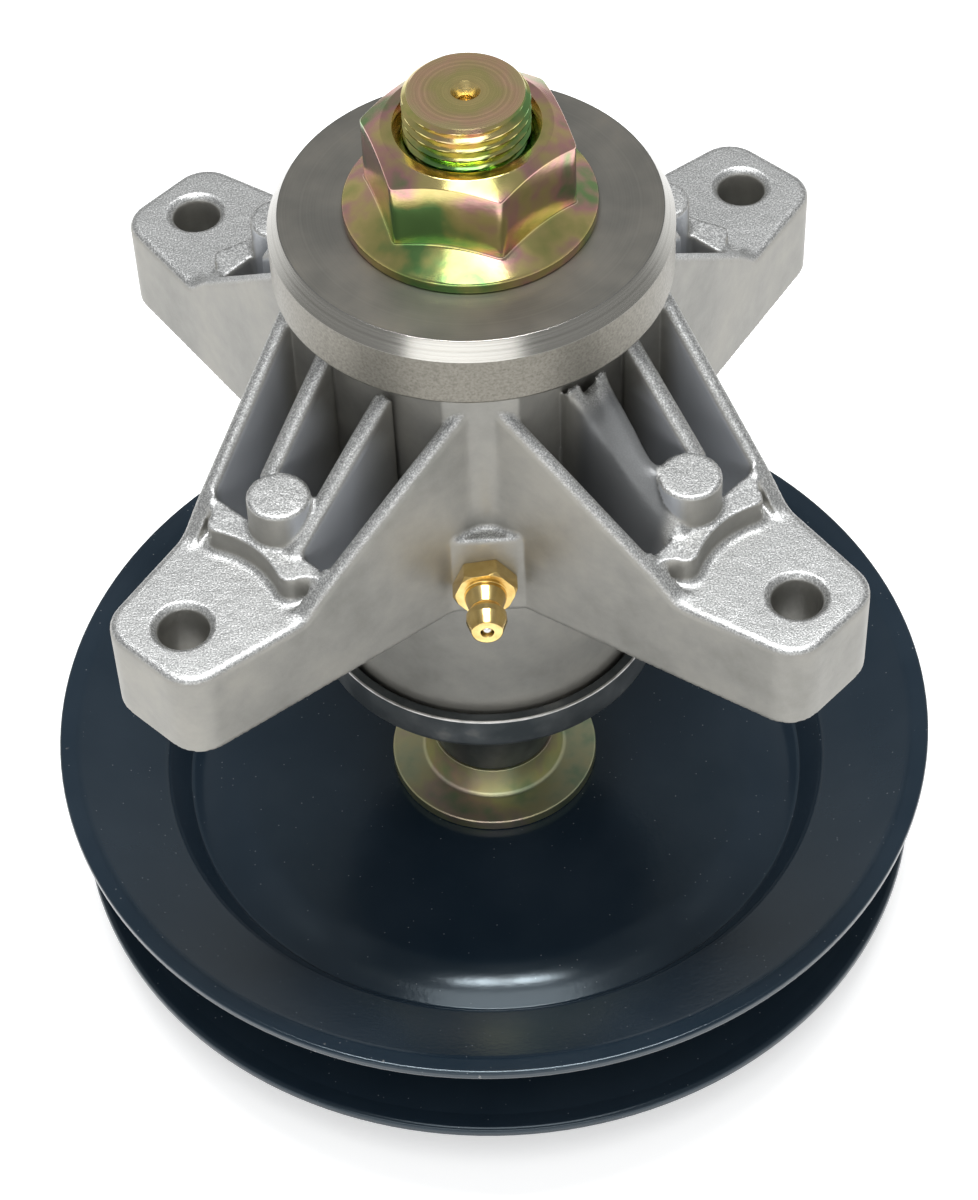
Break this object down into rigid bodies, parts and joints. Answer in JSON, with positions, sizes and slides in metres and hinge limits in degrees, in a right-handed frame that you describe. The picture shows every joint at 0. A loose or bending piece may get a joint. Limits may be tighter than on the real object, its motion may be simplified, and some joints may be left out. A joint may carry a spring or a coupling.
{
  "type": "mower deck spindle",
  "caption": "Mower deck spindle: ribbed cast housing with bolt-on legs, bearing-mounted shaft with blade disc and nut at one end and a pressed belt pulley at the other.",
  "frame": {"origin": "on the spindle axis, at the end face of the pulley nut that the part stands on", "axes": "+Z along the spindle towards the blade end, -Y towards the grease fitting"},
  "size_m": [0.1366, 0.1366, 0.1536],
  "materials": {
    "cast_aluminium": "die cast, shot blasted tops, smoother side walls",
    "brass": "bright turned brass",
    "bearing_steel": "ground",
    "seal_rubber": "moulded",
    "cage_plastic": "moulded",
    "yellow_zinc": "yellow zinc plate with a green and pink tint",
    "machined_steel": "turned, grey",
    "black_steel": "black oxide, worn bright at the edge",
    "black_paint": "black paint, half gloss"
  },
  "bodies": {
    "housing_body": {"housing": "cast_aluminium", "grease_fitting": "brass", "grease_fitting_ball": "bearing_steel", "blade_bearing_outer_race": "bearing_steel", "blade_bearing_seal": "seal_rubber", "pulley_bearing_outer_race": "bearing_steel", "pulley_bearing_seal": "seal_rubber"},
    "rotor": {"spindle_shaft": "yellow_zinc", "blade_nut": "yellow_zinc", "blade_disc": "machined_steel", "blade_bearing_inner_race": "bearing_steel", "pulley_bearing_inner_race": "bearing_steel", "bearing_spacer": "machined_steel", "pulley_spacer": "black_steel", "dust_shield": "black_steel", "pulley_hub": "yellow_zinc", "pulley_upper_half": "black_paint", "pulley_lower_half": "black_paint", "pulley_nut": "yellow_zinc"},
    "blade_bearing_rollers": {"blade_bearing_balls": "bearing_steel", "blade_bearing_cage": "cage_plastic"},
    "pulley_bearing_rollers": {"pulley_bearing_balls": "bearing_steel", "pulley_bearing_cage": "cage_plastic"}
  },
  "joints": [
    {"name": "spindle_spin", "type": "hinge", "parent": "housing_body", "child": "rotor", "pos_m": [0, 0, 0.0888], "axis": [0, 0, 1], "continuous": true},
    {"name": "blade_cage_spin", "type": "hinge", "parent": "housing_body", "child": "blade_bearing_rollers", "pos_m": [0, 0, 0.0888], "axis": [0, 0, 1], "continuous": true},
    {"name": "pulley_cage_spin", "type": "hinge", "parent": "housing_body", "child": "pulley_bearing_rollers", "pos_m": [0, 0, 0.0888], "axis": [0, 0, 1], "continuous": true}
  ],
  "couplings": [
    {"joint": "blade_cage_spin", "follows": "spindle_spin", "ratio": 0.3878},
    {"joint": "pulley_cage_spin", "follows": "spindle_spin", "ratio": 0.3878}
  ]
}
